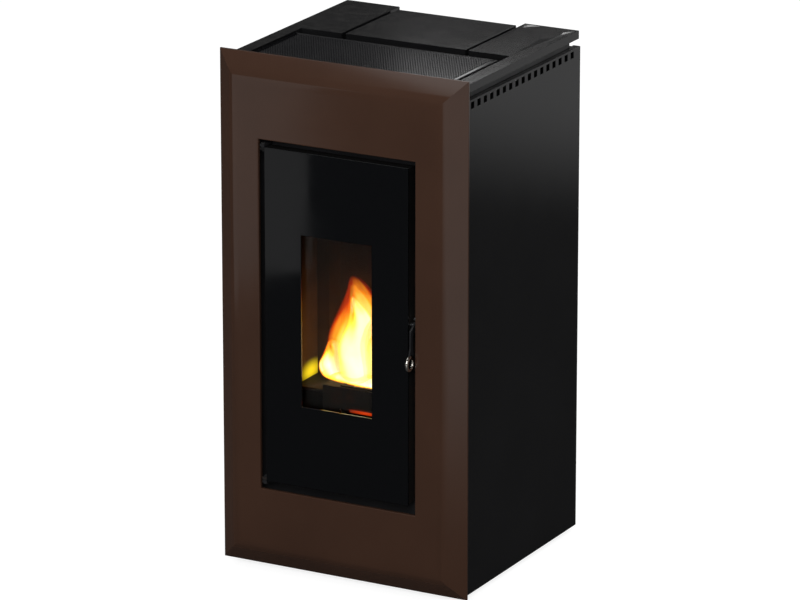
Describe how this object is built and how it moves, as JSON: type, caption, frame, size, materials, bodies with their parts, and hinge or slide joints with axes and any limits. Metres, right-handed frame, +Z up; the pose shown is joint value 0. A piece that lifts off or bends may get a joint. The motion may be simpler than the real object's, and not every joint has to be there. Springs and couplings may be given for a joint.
{
  "type": "pellet stove",
  "caption": "Free-standing pellet stove: black steel body, bevelled brown front surround, black glass fire door, hopper lid and warm-air grille on top, flue at the rear.",
  "frame": {"origin": "centre of the bounding box's footprint, at floor level under the feet", "axes": "+Z up, -Y towards the fire door (the front), +X to the stove's right-hand side as seen from the front"},
  "size_m": [0.5, 0.54, 0.97],
  "materials": {
    "brown_enamel": "gloss enamelled sheet steel, coffee brown",
    "black_satin": "satin black powder coat",
    "black_paint": "matt black heat-resistant paint",
    "black_glass": "black printed ceramic glass, polished",
    "fire_glass": "clear ceramic glass",
    "cast_iron": "matt cast iron, slightly rusted and sooted",
    "steel": "zinc-coated sheet steel",
    "polished_steel": "polished steel",
    "vermiculite": "pressed vermiculite board, heat stained",
    "rope": "glass-fibre rope",
    "rubber": "black rubber",
    "plastic": "black moulded plastic",
    "red_plastic": "red moulded plastic",
    "circuit": "green circuit board with fitted parts"
  },
  "bodies": {
    "stove": {"base_plate": "black_paint", "foot_front_left": "rubber", "foot_front_right": "rubber", "foot_rear_left": "rubber", "foot_rear_right": "rubber", "left_side_panel": "black_satin", "right_side_panel": "black_satin", "rear_panel": "black_paint", "front_frame": "black_paint", "front_surround": "brown_enamel", "top_frame": "black_paint", "top_cover": "black_satin", "left_round_plug": "black_satin", "right_round_plug": "black_satin", "air_grille": "black_paint", "hopper": "steel", "hopper_grid": "steel", "lid_pin_left": "steel", "lid_pin_right": "steel", "firebox_shell": "cast_iron", "back_liner": "vermiculite", "left_liner": "vermiculite", "right_liner": "vermiculite", "baffle_plate": "cast_iron", "pot_shelf": "cast_iron", "pellet_chute": "steel", "auger_tube": "steel", "auger_bush": "steel", "auger_gearmotor": "black_paint", "igniter": "steel", "smoke_duct": "steel", "exhaust_fan_housing": "steel", "exhaust_fan_motor": "black_paint", "flue_spigot": "black_paint", "air_intake_pipe": "steel", "room_fan_housing": "steel", "room_fan_motor": "black_paint", "air_hood": "steel", "control_board": "circuit", "power_inlet": "plastic", "safety_thermostat": "plastic", "hinge_pin_upper": "steel", "hinge_pin_lower": "steel", "latch_catch": "steel"},
    "door": {"door_frame": "cast_iron", "door_glass": "black_glass", "fire_glass": "fire_glass", "door_seal": "rope", "lever_pin": "steel"},
    "lever": {"door_lever": "black_paint", "lever_ring": "polished_steel"},
    "lid": {"hopper_lid": "black_satin", "lid_gasket": "rubber"},
    "auger": {"auger_screw": "steel"},
    "exhaust_impeller": {"exhaust_fan_impeller": "steel"},
    "room_rotor": {"room_fan_rotor": "steel"},
    "drawer": {"ash_drawer": "steel"},
    "pot": {"burn_pot": "cast_iron"},
    "rocker": {"power_switch": "red_plastic"},
    "button": {"reset_button": "red_plastic"}
  },
  "joints": [
    {"name": "door_hinge", "type": "hinge", "parent": "stove", "child": "door", "pos_m": [-0.15, -0.243, 0.493], "axis": [0, 0, -1], "range_deg": [0, 100]},
    {"name": "door_lever_pull", "type": "hinge", "parent": "door", "child": "lever", "pos_m": [0.152, -0.233, 0.515], "axis": [-1, 0, 0], "range_deg": [0, 40]},
    {"name": "hopper_lid_hinge", "type": "hinge", "parent": "stove", "child": "lid", "pos_m": [0, 0.203, 0.95], "axis": [-1, 0, 0], "range_deg": [0, 95]},
    {"name": "auger_spin", "type": "hinge", "parent": "stove", "child": "auger", "pos_m": [0, 0.117, 0.44], "axis": [0, -0.7071, 0.7071], "continuous": true},
    {"name": "exhaust_impeller_spin", "type": "hinge", "parent": "stove", "child": "exhaust_impeller", "pos_m": [0.1, 0.02, 0.255], "axis": [0, 1, 0], "continuous": true},
    {"name": "room_rotor_spin", "type": "hinge", "parent": "stove", "child": "room_rotor", "pos_m": [0, 0.1207, 0.0763], "axis": [1, 0, 0], "continuous": true},
    {"name": "ash_drawer_slide", "type": "slide", "parent": "stove", "child": "drawer", "axis": [0, -1, 0], "range_m": [0, 0.1]},
    {"name": "burn_pot_lift", "type": "slide", "parent": "stove", "child": "pot", "axis": [0, 0, 1], "range_m": [0, 0.03]},
    {"name": "power_switch_rock", "type": "hinge", "parent": "stove", "child": "rocker", "pos_m": [-0.19, 0.2335, 0.103], "axis": [1, 0, 0], "range_deg": [0, 16]},
    {"name": "reset_button_press", "type": "slide", "parent": "stove", "child": "button", "axis": [0, -1, 0], "range_m": [0, 0.003], "stiffness_N_per_m": 300}
  ],
  "couplings": [
    {"joint": "ash_drawer_slide", "follows": "door_hinge", "m_per_rad": 0.057}
  ]
}
